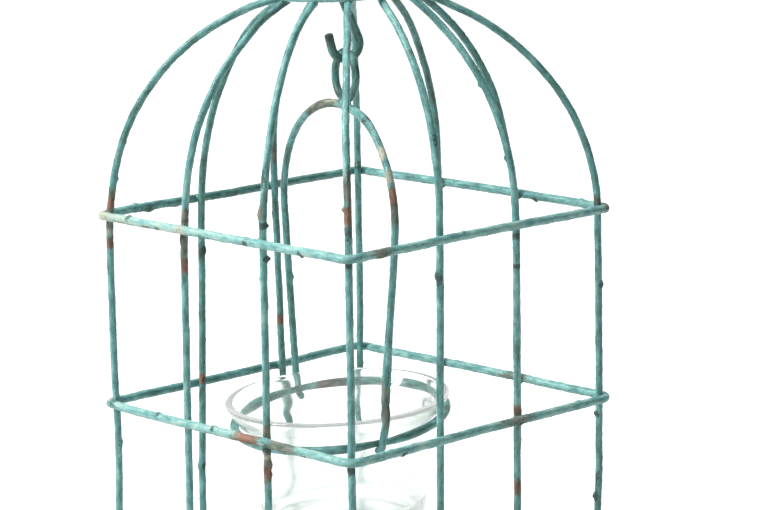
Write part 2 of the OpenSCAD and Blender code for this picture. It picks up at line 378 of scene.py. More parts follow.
class Tree:
    """Short words for making and joining the nodes of a material or world."""

    def __init__(self, owner):
        owner.use_nodes = True
        self.owner = owner
        self.nodes = owner.node_tree.nodes
        self.links = owner.node_tree.links
        self.nodes.clear()

    def node(self, kind, **values):
        made = self.nodes.new(kind)
        for key, value in values.items():
            setattr(made, key, value)
        return made

    def join(self, source, socket):
        self.links.new(source, socket)

    def noise(self, place, size, detail=3.0, rough=0.6, warp=0.0):
        """Noise whose blobs are about size millimetres across."""
        n = self.node("ShaderNodeTexNoise")
        n.inputs["Scale"].default_value = 1 / (size * MM)
        n.inputs["Detail"].default_value = detail
        n.inputs["Roughness"].default_value = rough
        n.inputs["Distortion"].default_value = warp
        self.join(place, n.inputs["Vector"])
        return n.outputs["Fac"]

    def math(self, how, a, b=0.0, c=0.0):
        """One sum on numbers or sockets, such as a times b plus c."""
        n = self.node("ShaderNodeMath", operation=how)
        for value, socket in zip((a, b, c), n.inputs):
            if isinstance(value, (int, float)):
                socket.default_value = value
            else:
                self.join(value, socket)
        return n.outputs[0]

    def step(self, value, low, high):
        """Smooth step from 0 at low to 1 at high."""
        n = self.node("ShaderNodeMapRange", interpolation_type="SMOOTHSTEP")
        n.inputs["From Min"].default_value = low
        n.inputs["From Max"].default_value = high
        self.join(value, n.inputs["Value"])
        return n.outputs["Result"]

    def sway(self, value, by, level):
        """level plus by times how far the value lies from one half."""
        off = self.math("SUBTRACT", value, 0.5)
        return self.math("MULTIPLY_ADD", off, by, level)

    def mix(self, factor, a, b):
        """Colour a where the factor is 0 and b where it is 1."""
        n = self.node("ShaderNodeMix", data_type="RGBA")
        self.join(factor, n.inputs["Factor"])
        for value, socket in ((a, n.inputs["A"]), (b, n.inputs["B"])):
            if isinstance(value, tuple):
                socket.default_value = value
            else:
                self.join(value, socket)
        return n.outputs["Result"]

    def read(self, name, output="Fac"):
        """Attribute stored on the mesh."""
        return self.node("ShaderNodeAttribute", attribute_name=name).outputs[output]

    def add(self, a, b):
        """Two shaders at once."""
        n = self.node("ShaderNodeAddShader")
        self.join(a, n.inputs[0])
        self.join(b, n.inputs[1])
        return n.outputs[0]

    def give(self, socket, output="Surface", kind="ShaderNodeOutputMaterial"):
        """Hands a finished surface or volume to the material or the world."""
        ends = [n for n in self.nodes if n.bl_idname == kind]
        end = ends[0] if ends else self.node(kind)
        self.join(socket, end.inputs[output])


print("mid grey 128 on the screen is", round(srgb(128, 128, 128)[0], 3), "of the light")

# %% Paints, metal and rust
PALE = srgb(190, 222, 210)
AQUA = srgb(150, 208, 202)
TEAL = srgb(108, 172, 168)
SLATE = srgb(84, 133, 125)
DEEP = srgb(56, 92, 84)
IRON = srgb(62, 76, 69)
TAUPE = srgb(146, 136, 120)
OLIVE = srgb(92, 98, 80)
CREAM = srgb(208, 206, 180)
RUST = srgb(166, 106, 80)
RUST_DARK = srgb(108, 82, 66)

tree = Tree(bpy.data.materials.new("distressed_paint"))
PAINT = tree.owner
place = tree.node("ShaderNodeTexCoord").outputs["Object"]
strand = tree.read("strand", "Vector")
depth_and_shade = tree.read("tone")
split = tree.node("ShaderNodeSeparateColor")
tree.join(tree.read("worn_and_shaded", "Color"), split.inputs["Color"])
rust, cream, dark = split.outputs[:3]
bare = tree.read("worn_and_shaded", "Alpha")

drift = tree.noise(place, 8, 2)                  # slow change of the teal
brush = tree.noise(strand, 1.5, 4, 0.6)          # strokes along the wire
blot = tree.noise(strand, 1.1, 5, 0.65, 0.6)     # edges of what is rubbed off
speck = tree.noise(place, 1.0, 3, 0.6)           # flecks
grain = tree.noise(place, 0.35, 2, 0.5)          # grain of the dry paint
print(PAINT.name, len(tree.nodes), "nodes before any colour")

# %% [markdown]
# The paint itself is one level per point, from pale to deep. It starts at the
# wire's own tone, which is deepened as painted shade on the hoops' left sides
# and at one rib's end, and drift, brush and speck push it up and down. A ramp
# of five paints lies over that level, so light and dark never form a hard edge.

# %% Five paints over one level
level = tree.sway(drift, 1.1, depth_and_shade)
level = tree.sway(brush, 1.8, level)
level = tree.sway(speck, 0.5, level)
colour = tree.mix(tree.step(level, -0.15, 0.15), PALE, AQUA)
colour = tree.mix(tree.step(level, 0.10, 0.50), colour, TEAL)
colour = tree.mix(tree.step(level, 0.45, 0.85), colour, SLATE)
colour = tree.mix(tree.step(level, 0.80, 1.20), colour, DEEP)
chips = tree.step(tree.math("MULTIPLY_ADD", depth_and_shade, 0.06, speck), 0.66, 0.78)
colour = tree.mix(tree.math("MULTIPLY", chips, 0.6), colour, DEEP)
print(PAINT.name, len(tree.nodes), "nodes with the paint")

# %% [markdown]
# What lies under the paint comes through in turn: bare metal, then primer,
# rust and iron. The wire says how much, and the noise says exactly where. The
# dark iron also lays the painted shade where a rib runs under the crown ring.


# %% Bare metal, cream primer, rust and dents, each with ragged edges
def ragged(amount, noise, soft=0.28):
    """Smooth step at one half of amount plus noise, so that the edge breaks
    into the streaks and flecks of the noise."""
    total = tree.sway(noise, 2.0, amount)
    total = tree.math("MULTIPLY", total, tree.step(amount, 0.05, 0.3))
    return tree.step(total, 0.5 - soft, 0.5 + soft)


def wear_and_shade_to(under, mask, strength):
    """The colour so far, worn through to what lies under it by the mask; with
    the dark iron the mask also lays painted shade.
    """
    return tree.mix(tree.math("MULTIPLY", mask, strength), colour, under)


bare_mask = ragged(bare, blot)
worn_metal = tree.mix(tree.step(brush, 0.40, 0.60), TAUPE, OLIVE)
colour = wear_and_shade_to(worn_metal, bare_mask, 0.85)
primer = tree.mix(tree.step(speck, 0.50, 0.70), CREAM, TAUPE)
colour = wear_and_shade_to(primer, ragged(cream, blot), 0.8)
flakes = tree.noise(place, 1.5, 5, 0.7, 0.8)
rust_mask = ragged(tree.math("MULTIPLY", rust, 0.86), flakes, 0.34)
rusty = tree.mix(tree.step(brush, 0.42, 0.60), RUST, RUST_DARK)
colour = wear_and_shade_to(rusty, rust_mask, 0.88)
# Dark iron: dark spots in the dents, plus painted shade where a rib runs under the crown
# ring
dark_and_shade_mask = ragged(dark, speck)
colour = wear_and_shade_to(IRON, dark_and_shade_mask, 0.85)

# %% [markdown]
# Paint is smooth and a little glossy, and what shows through it is rough. The
# same noises raise the brush marks and sink the worn places, by about a tenth
# of a millimetre.

# %% Gloss and relief of the coat
RELIEF = 0.12                # height of the brush marks
shader = tree.node("ShaderNodeBsdfPrincipled")
tree.join(colour, shader.inputs["Base Color"])
lost = tree.math("MAXIMUM", rust_mask, tree.math("MAXIMUM", bare_mask, dark_and_shade_mask))
rough = tree.math("MULTIPLY_ADD", lost, 0.35, 0.28)
rough = tree.math("MULTIPLY_ADD", grain, 0.2, rough)
tree.join(rough, shader.inputs["Roughness"])
height = tree.math("MULTIPLY_ADD", brush, 0.8, tree.math("MULTIPLY", grain, 0.4))
height = tree.math("MULTIPLY_ADD", speck, 0.6, height)
height = tree.math("MULTIPLY_ADD", lost, -0.4, height)
bump = tree.node("ShaderNodeBump")
bump.inputs["Strength"].default_value = 0.5
bump.inputs["Distance"].default_value = RELIEF * MM
tree.join(height, bump.inputs["Height"])
tree.join(bump.outputs["Normal"], shader.inputs["Normal"])
tree.give(shader.outputs[0])
print(PAINT.name, len(tree.nodes), "nodes")


# %% [markdown]
# ## The cage
# Three square hoops carry everything. Each is one wire, bent tightly round
# the corner ribs. It could be a modelled curve, but four arcs say the same in
# one line. Rows of marks then tell where its paint is worn, where a drop sits
# and where it sways. A row names a place, and the wire finds its nearest ring.

# %% The line of a hoop
def square(z):
    """Four quarter arcs round the corner ribs; the sides join them up."""
    signs = ((1, 1), (-1, 1), (-1, -1), (1, -1))
    flat = np.vstack([arc((0, 0), CORNER_R, 90 * k, 90 * k + 90) + BEND_AT * np.array(c)
                      for k, c in enumerate(signs)])
    return np.column_stack([flat, np.full(len(flat), z)])


print("one hoop takes", round(even(square(0), True)[2]), "mm of wire")

# %% Marks on the hoops
# Kind, place (x, y), reach along the wire, strength, and the side that it is
# on where it doesn't go all the way round
# The deeper tone on each hoop's left side is painted shade
hoop_patches = {
    "hoop_base": [
        ("tone", (-76, 0), 60, 0.3), ("tone", (76, 0), 60, 0.15),
        ("rust", (76, 10), 12, 0.8), ("bare", (-30, -76), 16, 0.8),
        ("cream", (40, 76), 8, 0.7), ("rust", (-76, -40), 7, 0.7)],
    "hoop_middle": [
        ("tone", (0, -76), 70, -0.18), ("tone", (-76, 0), 68, 0.28),
        ("tone", (76, 0), 68, -0.06), ("tone", (0, 76), 68, -0.04),
        ("rust", (16, -76), 8, 1.3), ("bare", (12, -76), 10, 0.9, DOWN),
        ("bare", (36, -76), 9, 1.1), ("dark", (28, -76), 5, 0.7, DOWN),
        ("bare", (76, 17), 13, 0.7), ("cream", (-75, -75), 4, 0.7),
        ("dark", (76, -48), 2, 0.9, DOWN), ("dark", (-40, -76), 1.6, 0.7, UP),
        ("dark", (-5, -76), 1.6, 0.7, UP), ("dark", (50, -76), 2.0, 0.8, DOWN),
        ("dark", (76, 20), 3, 0.8, DOWN), ("dark", (-70, -76), 3, 0.6, UP),
        ("rust", (-76, 30), 5, 0.5), ("bare", (20, 76), 12, 0.6)],
    "hoop_upper": [
        ("tone", (-40, -76), 42, -0.3), ("tone", (45, -76), 32, -0.05),
        ("tone", (-76, 0), 68, 0.44), ("tone", (76, 0), 68, -0.04),
        ("tone", (0, 76), 68, 0.12), ("cream", (-75, -76), 6, 1.2),
        ("cream", (-60, -76), 9, 0.5), ("cream", (-22, -76), 4, 0.7),
        ("bare", (-60, -76), 9, 0.6, DOWN), ("bare", (-43, -76), 3, 1.0, DOWN),
        ("dark", (-55, -76), 1.6, 0.9, UP), ("dark", (-36, -76), 1.8, 1.1, DOWN),
        ("dark", (18, -76), 1.8, 1.0, -UP + NEAR), ("dark", (50, -76), 1.6, 1.2, DOWN),
        ("dark", (-8, -76), 6, 0.5, DOWN), ("bare", (76, -58), 7, 0.7),
        ("bare", (76, 75), 4, 0.9), ("rust", (-76, 28), 4, 0.7, NEAR),
        ("dark", (-76, -50), 8, 0.7, DOWN), ("dark", (34, 76), 1.8, 0.9, DOWN)],
}
# Place, direction, height, and reach along and round the wire
hoop_lumps = {
    "hoop_middle": [
        ((-40, -76), UP, 0.5, 1.5, 1.0), ((-5, -76), UP, 0.45, 1.6, 1.0),
        ((8, -76), UP, 0.5, 3.0, 1.4), ((24, -76), UP, 0.4, 3.0, 1.4),
        ((50, -76), NEAR, 0.5, 1.2, 1.0), ((76, -48), DOWN, 0.6, 1.0, 0.8),
        ((76, 20), DOWN, 0.6, 1.2, 0.9), ((76, 56), UP, 0.5, 1.2, 0.9)],
    "hoop_upper": [
        ((-55, -76), UP, 0.7, 1.2, 0.8), ((-36, -76), NEAR, 0.4, 1.2, 1.0),
        ((-76, -48), DOWN, 1.0, 2.2, 1.0), ((-76, -56), UP, 0.7, 1.6, 0.9),
        ((-76, -34), DOWN, 0.5, 2.0, 1.0), ((50, -76), DOWN, 0.8, 0.9, 0.8),
        ((76, -12), UP, 0.5, 1.0, 0.8), ((34, 76), DOWN, 0.9, 0.9, 0.8),
        ((60, 76), UP, 0.7, 1.0, 0.8), ((76, -58), DOWN, 0.4, 2.0, 1.2)],
}
# Place, push, and reach along the wire
hoop_sways = {
    "hoop_middle": [
        ((0, 76), (0, 0, 0.5), 50), ((76, 0), (0, 0, 0.25), 45),
        ((-76, 60), (0, 0, 0.4), 18), ((-75, -75), (0.5, 0.5, 0.4), 14)],
    "hoop_upper": [
        ((76, 0), (0, 0, 0.6), 48), ((0, 76), (0, 0, 0.5), 50),
        ((-76, 0), (0, 0, -0.3), 25)],
}

# %% Three hoops
HOOP_STOUT, RIB_STOUT = 1.21, 1.03   # hammered hoops, thickly painted ribs
hoop_tone = {"hoop_base": 0.35, "hoop_middle": 0.3, "hoop_upper": 0.3}
for seed, (name, z) in enumerate(HOOP_Z.items()):
    piece = wire(name + "_wire", square(z), UP, "cage", 11 + seed,
                 closed=True, tone=hoop_tone[name], stout=HOOP_STOUT,
                 patches=[(kind, (*at, z), *rest) for kind, at, *rest in hoop_patches[name]],
                 lumps=[((*at, z), *rest) for at, *rest in hoop_lumps.get(name, ())],
                 sways=[((*at, z), *rest) for at, *rest in hoop_sways.get(name, ())])
    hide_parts(name)

# %% [markdown]
# Twelve ribs stand inside the hoops, rise past the upper one and lean in over
# two bends until they end under the crown ring. No two are alike on a bent
# cage, so each has its own shoulder and its own angle at the crown, and the
# two radii between them are solved so that it still arrives.

# %% The line of a rib
RUN_ON = 1.5                 # a rib runs on so far past its weld
CROWN_HIGH = 45              # azimuth at which the crown ring is highest


def crown_at(azimuth):
    """Height of the crown ring in the direction of an azimuth: its centre's
    plus radius times sin(tilt) times the cosine of the angle from its highest
    place."""
    rise = CROWN_R * np.sin(np.radians(CROWN_TILT))
    return CROWN_Z + rise * np.cos(np.radians(azimuth - CROWN_HIGH))


def rib(x, y, rise, sweep, crown_angle, stray):
    """Upright, then two arcs that run on from each other and end under the
    ring. Their radii solve the two equations across and up for the wire to
    reach the ring at the crown angle. Below the shoulder the wire leans until
    its foot has strayed along the face."""
    azimuth = np.degrees(np.arctan2(y, x))
    foot = np.hypot(x, y)
    z0 = DOME_FROM + rise
    touch = np.array([CROWN_R, crown_at(azimuth)]) - polar(SEAT, crown_angle)
    cs, ss = polar(1, sweep)
    cc, sc = polar(1, crown_angle)
    a, b, c, d = 1 - cs, cs - cc, ss, sc - ss
    across, up = foot - touch[0], touch[1] - z0
    shoulder_r = (across * d - up * b) / (a * d - b * c)
    dome_r = (a * up - c * across) / (a * d - b * c)
    shoulder = np.array([foot - shoulder_r, z0])
    dome = shoulder + polar(shoulder_r - dome_r, sweep)
    tail = np.degrees(RUN_ON / dome_r)
    flat = np.vstack([rod((foot, 0), (foot, z0)),
                      arc(shoulder, shoulder_r, 0, sweep),
                      arc(dome, dome_r, sweep, crown_angle + tail)])
    path = upright(flat, azimuth)
    lean = np.clip(1 - path[:, 2] / z0, 0, 1) * stray
    path[:, 1 if abs(x) > abs(y) else 0] += lean
    return path, azimuth


# %% Sizes of twelve ribs
# x, y, rise and sweep of the shoulder, angle at the crown, stray, tone
RIBS = {
    "corner_rib_front_left": (-CORNER_AT, -CORNER_AT, -10.7, 15.2, 77.5, 0, 0.42),
    "corner_rib_front_right": (CORNER_AT, -CORNER_AT, -12, 12, 75.5, 0, 0.44),
    "corner_rib_back_right": (CORNER_AT, CORNER_AT, -4.6, 45, 72.5, 0, 0.52),
    "corner_rib_back_left": (-CORNER_AT, CORNER_AT, -10.3, 11.8, 80, 0, 0.54),
    "front_rib_1": (-THIRD, -RIB_AT, -13.4, 9, 59.2, -1.3, 0.40),
    "front_rib_2": (THIRD - 0.4, -RIB_AT, -1.6, 36.6, 74.5, -0.8, 0.42),
    "right_rib_1": (RIB_AT, -THIRD + 1.7, 10.5, 35, 61.8, -2.2, 0.42),
    "right_rib_2": (RIB_AT, THIRD - 3, 4.7, 37.3, 56.4, -0.4, 0.42),
    "back_rib_1": (THIRD + 0.5, RIB_AT, -16.7, 17.6, 57.5, -0.2, 0.65),
    "back_rib_2": (-THIRD + 2.8, RIB_AT, 2.4, 32, 63.1, -1.6, 0.75),
    "left_rib_1": (-RIB_AT, THIRD - 2.5, 14.4, 34.1, 53, 4, 0.68),
    "left_rib_2": (-RIB_AT, -THIRD + 3.5, -5.4, 35.8, 69, -4, 0.68),
}
print(len(RIBS), "ribs")

# %% Marks on the ribs
# The same columns as on the hoops, but on a rib a place is simply a height
rib_patches = {
    "corner_rib_front_left": [
        ("tone", 215, 45, 0.2), ("bare", 174, 2.5, 0.8), ("rust", 169.5, 3.2, 1.1),
        ("bare", 166, 2, 0.9), ("cream", 157.5, 2.2, 0.6), ("bare", 160, 3, 0.8),
        ("rust", 152.6, 2.8, 1.3), ("dark", 66, 2, 0.5, RIGHT),
        ("cream", 190, 3, 0.5, LEFT), ("dark", 140, 5, 0.5, LEFT)],
    "corner_rib_front_right": [
        ("tone", 215, 40, -0.06), ("bare", 190, 7, 0.9), ("rust", 179.8, 4.2, 1.4),
        ("dark", 196, 4, 0.7, RIGHT), ("dark", 173.5, 3.5, 0.8),
        ("dark", 162, 1.6, 0.9), ("dark", 79.5, 2, 1.1), ("cream", 81, 1.2, 0.5, NEAR)],
    "corner_rib_back_right": [
        ("tone", 215, 40, 0.05), ("dark", 132, 2, 0.8, RIGHT),
        ("dark", 49, 3, 0.9, LEFT), ("bare", 168, 3, 0.8), ("dark", 76, 2, 0.8, LEFT),
        ("dark", 40, 2.5, 0.9, LEFT)],
    "corner_rib_back_left": [("dark", 168, 4, 0.6)],
    # The deeper tone and the dark patch at the top of this rib are painted shade, where it
    # runs under the crown ring
    "front_rib_1": [
        ("tone", 215, 24, 0.12), ("tone", 250, 12, 0.4),
        ("dark", 253, 5, 0.7, RIGHT - UP), ("tone", 181, 9, -0.3),
        ("bare", 169.5, 3.5, 1.2), ("dark", 168, 2, 0.5), ("bare", 158, 5, 1.1),
        ("dark", 160.5, 2.5, 0.7, LEFT), ("rust", 149.3, 3.4, 1.5)],
    "front_rib_2": [
        ("tone", 205, 12, -0.3, LEFT), ("dark", 190, 4.5, 0.9, LEFT),
        ("bare", 182, 4, 0.5), ("dark", 171.5, 1.5, 1.1),
        ("bare", 175.5, 3.5, 0.9, LEFT), ("dark", 164, 1.5, 0.8),
        ("dark", 158, 1.4, 1.2, RIGHT), ("bare", 86, 6, 0.9), ("dark", 80, 2.4, 0.8),
        ("cream", 76.5, 1.4, 0.8, NEAR), ("bare", 72, 8, 1.0), ("rust", 70, 3.5, 0.8)],
    "right_rib_1": [
        ("tone", 120, 45, 0.06), ("dark", 204, 3, 0.8, RIGHT),
        ("dark", 149, 3, 0.9, LEFT + NEAR)],
    "right_rib_2": [
        ("tone", 200, 40, 0.04), ("rust", 87, 2.6, 1.1), ("bare", 76, 7, 0.4),
        ("rust", 54, 4, 1.0), ("dark", 160, 1.3, 1.1, NEAR),
        ("dark", 147.5, 1.3, 1.1, NEAR)],
    "back_rib_1": [("rust", 60, 5, 0.6)],
    "back_rib_2": [("dark", 140, 3, 0.4)],
    "left_rib_1": [
        ("rust", 104, 2.6, 1.1), ("bare", 180, 8, 0.6), ("dark", 200, 6, 0.5, LEFT)],
    "left_rib_2": [
        ("tone", 40, 40, -0.12), ("rust", 85, 2.6, 1.0), ("dark", 142, 3.5, 1.0, NEAR),
        ("dark", 46, 2.5, 0.9, RIGHT)],
}
rib_lumps = {
    "corner_rib_front_left": [
        (180, RIGHT, 0.6, 0.9, 0.8), (66, RIGHT, 0.5, 1.5, 1.0)],
    "corner_rib_front_right": [
        (183, LEFT, 1.0, 0.8, 0.7), (162, NEAR, 0.5, 1.5, 1.2)],
    "corner_rib_back_right": [
        (132, RIGHT, 0.6, 1.2, 0.9), (76, LEFT, 0.8, 1.1, 0.9),
        (40, LEFT, 0.9, 1.3, 1.0)],
    "front_rib_1": [(160, LEFT, 0.4, 2.0, 1.2)],
    "front_rib_2": [
        (176, LEFT, 0.9, 2.6, 1.1), (171.3, RIGHT, 1.1, 0.7, 0.7),
        (174, NEAR, 0.6, 2.5, 1.3), (158, RIGHT, 1.7, 1.0, 1.0),
        (150, LEFT, 0.4, 1.2, 1.0), (73, RIGHT, 0.6, 1.4, 1.0),
        (69, RIGHT, 0.5, 1.2, 1.0), (79, LEFT, 0.5, 1.0, 1.0)],
    "right_rib_1": [
        (150, LEFT, 0.7, 1.8, 1.0), (207, RIGHT, 0.6, 0.9, 0.8),
        (188, NEAR, 0.6, 1.5, 1.2)],
    "right_rib_2": [
        (192, LEFT, 0.9, 1.0, 0.8), (222, LEFT, 0.8, 1.0, 0.8),
        (86, RIGHT, 0.4, 2.0, 1.2)],
    "left_rib_2": [(142, RIGHT, 0.6, 1.6, 1.1), (46, LEFT, 0.5, 1.6, 1.1)],
}
rib_sways = {
    "corner_rib_front_left": [(66, 0.85 * RIGHT, 28), (252, -0.6 * RIGHT, 8)],
    "corner_rib_front_right": [
        (78, -0.3 * RIGHT, 22), (217, -0.6 * RIGHT, 26), (251, -0.3 * RIGHT, 8)],
    "corner_rib_back_right": [
        (32, -0.7 * RIGHT, 20), (156, -0.3 * RIGHT, 25), (250, -0.5 * RIGHT, 8)],
    "corner_rib_back_left": [(62, -0.85 * RIGHT, 26), (207, -0.2 * RIGHT, 10)],
    "front_rib_1": [(248, -0.9 * RIGHT, 9)],
    "front_rib_2": [(255, -0.8 * RIGHT, 5)],
    "right_rib_1": [(140, 0.1 * RIGHT, 30), (64, -0.1 * RIGHT, 20)],
    "right_rib_2": [(130, 0.2 * RIGHT, 40), (186, -0.25 * RIGHT, 18)],
    "back_rib_1": [(186, -0.4 * RIGHT, 14), (36, -0.4 * RIGHT, 18)],
    "back_rib_2": [(174, -0.35 * RIGHT, 12), (36, -0.2 * RIGHT, 18)],
    "left_rib_1": [(62, 0.5 * RIGHT, 26), (110, 0.2 * RIGHT, 18)],
    "left_rib_2": [
        (44, -0.45 * RIGHT, 28), (178, 0.2 * RIGHT, 16), (249, 1.6 * RIGHT, 12)],
}

# %% Twelve ribs
for seed, (name, (x, y, *shape, tone)) in enumerate(RIBS.items()):
    path, azimuth = rib(x, y, *shape)
    piece = wire(name + "_wire", path, np.cross(UP, compass(azimuth)), "cage",
                 31 + seed, tone=tone, stout=RIB_STOUT,
                 patches=rib_patches[name], lumps=rib_lumps.get(name, ()),
                 sways=rib_sways[name])
    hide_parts(name)

# %% [markdown]
# ## The crown
# The ring that gathers the ribs sits a little out of level. A bar lies across
# it, and a loop with turned-out feet stands on the bar, to hang the lantern by.
# All three are drawn level round the middle, and one small turn tilts them.

# %% Crown ring and bar
HANG_TURN = -18.5            # direction of the bar and of the bail
on_crown = turn((1, -1, 0), CROWN_TILT)
crown_origin = np.array([0, 0, CROWN_Z])
ring = arc((0, 0), CROWN_R, 0, 360)[:-1]
ring_path = np.column_stack([ring, np.zeros(len(ring))])
piece = wire("crown_ring_wire", ring_path @ on_crown.T + crown_origin,
             on_crown @ UP, "cage", 51, closed=True, tone=0.22,
             sways=[((0, -30, 257), (0, 0, -0.6), 30)])
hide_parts("crown_ring")

BAR_PAST = 1.0               # the bar's ends stand out past the ring
bar_side = compass(HANG_TURN + 90)
bar_half = CROWN_R + WIRE_R + BAR_PAST
bar = upright(rod((-bar_half, 0), (bar_half, 0)), HANG_TURN,
              crown_origin + on_crown @ UP * SEAT, on_crown)
piece = wire("crown_bar_wire", bar, on_crown @ bar_side, "cage", 52,
             rough=0.5, wander=0.0)
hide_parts("crown_bar")

# %% Loop to hang it by
LOOP_R, LOOP_LEG, LOOP_FOOT_R, LOOP_FOOT = 12.0, 8.0, 3.2, 5.0
LOOP_WELD = 2.0              # its beads sit so far out on its feet
leg_top = LOOP_FOOT_R + LOOP_LEG
foot_x = LOOP_R + LOOP_FOOT_R
half = np.vstack([rod((foot_x + LOOP_FOOT, 0), (foot_x, 0)),
                  arc((foot_x, LOOP_FOOT_R), LOOP_FOOT_R, 270, 180),
                  arc((0, leg_top), LOOP_R, 0, 90)])
loop = np.vstack([half, half[::-1] * (-1, 1)])
loop_origin = crown_origin + on_crown @ UP * 2 * SEAT
piece = wire("hanging_loop_wire", upright(loop, HANG_TURN, loop_origin, on_crown),
             on_crown @ bar_side, "cage", 53)
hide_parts("hanging_loop")

# %% [markdown]
# ## The hanging gear
# An S-hook swings on the bar and the bail hangs in the hook. The wires that
# touch here move against each other, so they keep their exact line and only
# a fine grain: a lump would jam. The hook is thick wire, and where it has
# rubbed for years it is worn thin, which a lump of negative height does.

# %% S-hook
HOOK_STOUT = 1.25
WORN_THIN, WORN_REACH = 0.4, 3.0     # depth of the wear, and its reach along
ALL_ROUND = 50.0                     # a reach round the wire that takes it all in
HOOK_TOP_R, HOOK_LOW_R, HOOK_TIP = 5.0, 6.4, 6.5
MOUTH_ANGLE, TOP_END = 193, -15      # where the two bends of the S leave off
BAR_Z, HOOK_Z, HOOK_SHIFT = CROWN_Z + SEAT, 229.0, -2.4
top_c = np.array([0, BAR_Z + LINK - HOOK_TOP_R])
low_c = np.array([HOOK_SHIFT, HOOK_Z + HOOK_LOW_R])
span = top_c - low_c
cross_angle = np.degrees(np.arctan2(span[1], span[0])
                         - np.arccos((HOOK_LOW_R + HOOK_TOP_R) / np.hypot(*span)))
mouth = low_c + polar(HOOK_LOW_R, MOUTH_ANGLE)
tip = mouth + polar(HOOK_TIP, MOUTH_ANGLE - 90)
hook = np.vstack([rod(tip, mouth),
                  arc(low_c, HOOK_LOW_R, MOUTH_ANGLE, 360 + cross_angle),
                  arc(top_c, HOOK_TOP_R, 180 + cross_angle, TOP_END)])
tip_place = upright(tip[None], HANG_TURN + 90)[0]
hang = HOOK_SHIFT * bar_side + HOOK_Z * UP       # where the bail hangs
piece = wire("s_hook_wire", upright(hook, HANG_TURN + 90),
             compass(HANG_TURN + 180), "hook", 61,
             rough=0.45, wander=0.0, tone=0.9, stout=HOOK_STOUT,
             lumps=[(place, UP, -WORN_THIN, WORN_REACH, ALL_ROUND)
                    for place in ((BAR_Z + LINK) * UP, hang)],
             patches=[("dark", tip_place, 3, 0.9)])
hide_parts("s_hook")

# %% [markdown]
# The bail is one wire too: a flat arch with two legs, each ending in a small
# hook round the ring, and an eye welded on top. The ring hangs askew, so each
# leg leans out of the arch's plane until its hook holds the ring. The leg is
# worked out as the line that touches the shoulder's circle and the hook's.

# %% Sizes of the bail and its eye
BAIL_LEAN, EYE_R, HALF_WIDTH, TOP_R, TOP_SWEEP = 1.7, 10.0, 55.0, 66.0, 35.0
BAIL_OFFSET, RING_R, RING_DROP, RING_SHIFT = 6.6, 44.9, 152.0, -2.2
RING_SLOPE, RING_ROLL = 2.1, 7.8     # degrees out of level, along and across
FEET_AT = (178.0, -4.3)              # directions of the bail's feet on the ring
FOOT_END = -116                      # the feet stop short of the glass
EYE_STOUT, EYE_WORN, BAIL_STOUT = 1.12, 0.25, 1.05
on_hook = turn(UP, HANG_TURN) @ turn((1, 0, 0), -BAIL_LEAN)
eye_z = LINK - EYE_R
arch_z = eye_z - EYE_R - SEAT
bail_normal = on_hook @ np.array([0, 1, 0])
eye = arc((0, eye_z), EYE_R, 0, 360)[:-1]
piece = wire("bail_eye_wire", upright(eye, 0, hang, on_hook), bail_normal, "bail",
             62, closed=True, rough=0.45, wander=0.0, tone=0.85,
             stout=EYE_STOUT,
             lumps=[(hang + on_hook @ UP * LINK, UP, -EYE_WORN, WORN_REACH, ALL_ROUND)])
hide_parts("bail_eye")

# %% The line of half the arch
in_bail = turn((0, 1, 0), RING_SLOPE) @ turn((1, 0, 0), RING_ROLL)
cos_top, sin_top = polar(1, TOP_SWEEP)
shoulder_r = (HALF_WIDTH - TOP_R * sin_top) / (1 - sin_top)
shoulder = np.array([(TOP_R - shoulder_r) * sin_top,
                     arch_z - TOP_R + (TOP_R - shoulder_r) * cos_top])


def ring_point(azimuth):
    """Place on the ring's wire, in the bail's own frame."""
    return in_bail @ (RING_R * compass(azimuth)) + (RING_SHIFT, 0, -RING_DROP)


def half_arch(sign, azimuth):
    """From the middle of the flat top over the shoulder, down the straight
    leg and round the ring. The leg is the line that touches both circles, and
    it leans out of the arch's plane to meet the ring at the azimuth."""
    hold = ring_point(azimuth)
    foot = np.array([sign * (hold[0] + BAIL_OFFSET), hold[2]])
    reach = foot - shoulder
    lean = np.degrees(np.arctan2(reach[1], reach[0])
                      + np.arccos((shoulder_r - LINK) / np.hypot(*reach)))
    top = shoulder[1] + polar(shoulder_r, lean)[1]
    stray = np.degrees(np.arctan(hold[1] / (top - hold[2])))
    foot[1] = top - (top - hold[2]) / np.cos(np.radians(stray))
    flat = np.vstack([arc((0, arch_z - TOP_R), TOP_R, 90, 90 - TOP_SWEEP),
                      arc(shoulder, shoulder_r, 90 - TOP_SWEEP, lean),
                      arc(foot, LINK, lean, FOOT_END)])
    flat = even(np.insert(flat, 1, 0, axis=1))[0]
    leg = flat[:, 2] < top
    flat[leg] = (flat[leg] - (0, 0, top)) @ turn((1, 0, 0), stray).T + (0, 0, top)
    return flat * (sign, 1, 1) - (BAIL_OFFSET, 0, 0)


